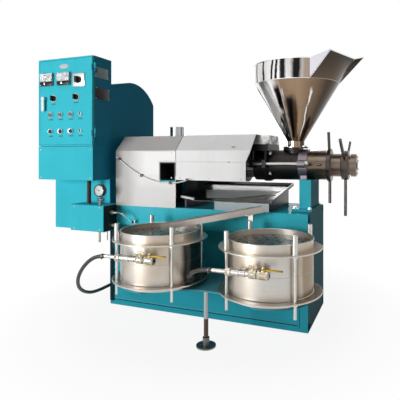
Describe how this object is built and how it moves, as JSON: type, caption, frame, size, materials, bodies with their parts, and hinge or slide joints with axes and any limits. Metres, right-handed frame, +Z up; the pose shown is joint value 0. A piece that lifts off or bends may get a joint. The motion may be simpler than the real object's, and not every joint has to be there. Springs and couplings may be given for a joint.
{
  "type": "screw oil press",
  "caption": "Screw oil press on a box base with a seed hopper, guarded press, belt drive, electric cabinet and stainless vacuum filter drums.",
  "frame": {"origin": "centre of the base's footprint on the floor", "axes": "+X along the machine towards the adjuster, +Y to the back, +Z up"},
  "size_m": [2.1118, 1.129, 1.641],
  "materials": {
    "teal_paint": "gloss",
    "dark_recess": "satin",
    "white_paint": "satin",
    "stainless": "satin",
    "polished": "gloss",
    "machined_steel": "satin",
    "cast_body": "rough",
    "bronze": "satin",
    "brass_fittings": "satin",
    "black_rubber": "satin",
    "clear_hose": "gloss",
    "cream_cable": "satin",
    "black_plastic": "satin",
    "yellow_lever": "satin",
    "cream_knob": "gloss",
    "motor_paint": "satin",
    "button_cap": "gloss"
  },
  "bodies": {
    "frame": {"base_frame": "teal_paint", "base_panels": "teal_paint", "drum_table": "teal_paint", "drum_left": "stainless", "drum_right": "stainless", "drum_screens": "stainless", "drum_rods": "stainless", "valve_pipe_left": "stainless", "valve_pipe_right": "stainless", "hose_left": "black_rubber", "hose_right": "black_rubber", "hose_clear": "clear_hose", "pump_box": "teal_paint", "vacuum_gauge": "polished", "pump_fittings": "brass_fittings", "drive_stand": "teal_paint", "belt_hood": "teal_paint", "motor": "motor_paint", "v_belts": "black_rubber", "gearbox_casing": "teal_paint", "cake_chamber": "teal_paint", "cage_bars": "machined_steel", "cage_clamps": "cast_body", "cage_end_block": "cast_body", "tie_bars": "machined_steel", "feed_body": "cast_body", "bearing_housing": "machined_steel", "thrust_tube": "bronze", "support_column": "teal_paint", "hopper": "polished", "guard_left": "white_paint", "guard_right": "white_paint", "guard_cable": "cream_cable", "cabinet_shell": "teal_paint", "oil_tray": "stainless", "gutter": "stainless"},
    "input": {"driven_pulley": "cast_body", "input_shaft": "machined_steel"},
    "motor_rotor": {"motor_pulley": "cast_body"},
    "lay_shaft": {"lay_gear": "machined_steel"},
    "output": {"output_gear": "machined_steel"},
    "carriage": {"adjust_sleeve": "machined_steel"},
    "adjuster": {"adjuster_ring": "machined_steel"},
    "screw": {"press_screw": "machined_steel"},
    "lock": {"lock_ring": "machined_steel"},
    "door": {"cabinet_door": "teal_paint", "door_fittings": "black_plastic"},
    "handle": {"door_handle": "polished"},
    "isolator": {"isolator_knob": "button_cap"},
    "control_left": {"knob_left": "black_plastic"},
    "control_right": {"knob_right": "black_plastic"},
    "push_left": {"button_left": "button_cap"},
    "push_middle": {"button_middle": "button_cap"},
    "push_right": {"button_right": "button_cap"},
    "lid": {"guard_lid": "white_paint"},
    "tap_left": {"lever_left": "yellow_lever"},
    "tap_right": {"lever_right": "yellow_lever"},
    "needle_left": {"wing_left": "cream_knob"},
    "needle_right": {"wing_right": "cream_knob"},
    "foot": {"table_foot": "machined_steel"}
  },
  "joints": [
    {"name": "input_spin", "type": "hinge", "parent": "frame", "child": "input", "pos_m": [-0.74, 0, 0.942], "axis": [1, 0, 0], "continuous": true},
    {"name": "motor_spin", "type": "hinge", "parent": "frame", "child": "motor_rotor", "pos_m": [-0.74, 0, 1.322], "axis": [1, 0, 0], "continuous": true},
    {"name": "lay_spin", "type": "hinge", "parent": "frame", "child": "lay_shaft", "pos_m": [-0.5, 0, 0.806], "axis": [1, 0, 0], "continuous": true},
    {"name": "output_spin", "type": "hinge", "parent": "frame", "child": "output", "pos_m": [-0.44, 0, 0.942], "axis": [1, 0, 0], "continuous": true},
    {"name": "adjust_slide", "type": "slide", "parent": "frame", "child": "carriage", "axis": [1, 0, 0], "range_m": [-0.008, 0.008]},
    {"name": "adjuster_turn", "type": "hinge", "parent": "carriage", "child": "adjuster", "pos_m": [0.851, 0, 0.942], "axis": [1, 0, 0], "range_deg": [-360, 360]},
    {"name": "screw_spin", "type": "hinge", "parent": "carriage", "child": "screw", "pos_m": [0, 0, 0.942], "axis": [1, 0, 0], "continuous": true},
    {"name": "lock_turn", "type": "hinge", "parent": "frame", "child": "lock", "pos_m": [0.758, 0, 0.942], "axis": [1, 0, 0], "range_deg": [-30, 30]},
    {"name": "door_swing", "type": "hinge", "parent": "frame", "child": "door", "pos_m": [-0.662, -0.422, 1.35], "axis": [0, 0, 1], "range_deg": [0, 110]},
    {"name": "handle_turn", "type": "hinge", "parent": "door", "child": "handle", "pos_m": [-1.063, -0.45, 1.378], "axis": [0, 1, 0], "range_deg": [0, 90]},
    {"name": "isolator_turn", "type": "hinge", "parent": "door", "child": "isolator", "pos_m": [-0.777, -0.45, 1.489], "axis": [0, 1, 0], "range_deg": [0, 90]},
    {"name": "control_left_turn", "type": "hinge", "parent": "door", "child": "control_left", "pos_m": [-0.985, -0.45, 1.378], "axis": [0, 1, 0], "range_deg": [-45, 45]},
    {"name": "control_right_turn", "type": "hinge", "parent": "door", "child": "control_right", "pos_m": [-0.799, -0.45, 1.38], "axis": [0, 1, 0], "range_deg": [-45, 45]},
    {"name": "push_left_press", "type": "slide", "parent": "door", "child": "push_left", "axis": [0, 1, 0], "range_m": [0, 0.004], "stiffness_N_per_m": 400, "springref_m": -0.004},
    {"name": "push_middle_press", "type": "slide", "parent": "door", "child": "push_middle", "axis": [0, 1, 0], "range_m": [0, 0.004], "stiffness_N_per_m": 400, "springref_m": -0.004},
    {"name": "push_right_press", "type": "slide", "parent": "door", "child": "push_right", "axis": [0, 1, 0], "range_m": [0, 0.004], "stiffness_N_per_m": 400, "springref_m": -0.004},
    {"name": "lid_lift", "type": "hinge", "parent": "frame", "child": "lid", "pos_m": [0, 0.281, 0.962], "axis": [-1, 0, 0], "range_deg": [0, 28]},
    {"name": "tap_left_turn", "type": "hinge", "parent": "frame", "child": "tap_left", "pos_m": [-0.01, -0.797, 0.502], "axis": [0, 0, -1], "range_deg": [0, 90]},
    {"name": "tap_right_turn", "type": "hinge", "parent": "frame", "child": "tap_right", "pos_m": [0.583, -0.797, 0.489], "axis": [0, 0, -1], "range_deg": [0, 90]},
    {"name": "needle_left_turn", "type": "hinge", "parent": "frame", "child": "needle_left", "pos_m": [-0.063, -0.797, 0.502], "axis": [0, 0, 1], "range_deg": [0, 90]},
    {"name": "needle_right_turn", "type": "hinge", "parent": "frame", "child": "needle_right", "pos_m": [0.535, -0.797, 0.489], "axis": [0, 0, 1], "range_deg": [0, 90]},
    {"name": "foot_screw", "type": "slide", "parent": "frame", "child": "foot", "axis": [0, 0, 1], "range_m": [0, 0.02]}
  ],
  "couplings": [
    {"joint": "motor_spin", "follows": "input_spin", "ratio": 3},
    {"joint": "lay_spin", "follows": "input_spin", "ratio": -0.30769},
    {"joint": "output_spin", "follows": "input_spin", "ratio": 0.094675},
    {"joint": "screw_spin", "follows": "input_spin", "ratio": 0.094675},
    {"joint": "adjust_slide", "follows": "adjuster_turn", "m_per_rad": 0.0012732}
  ]
}
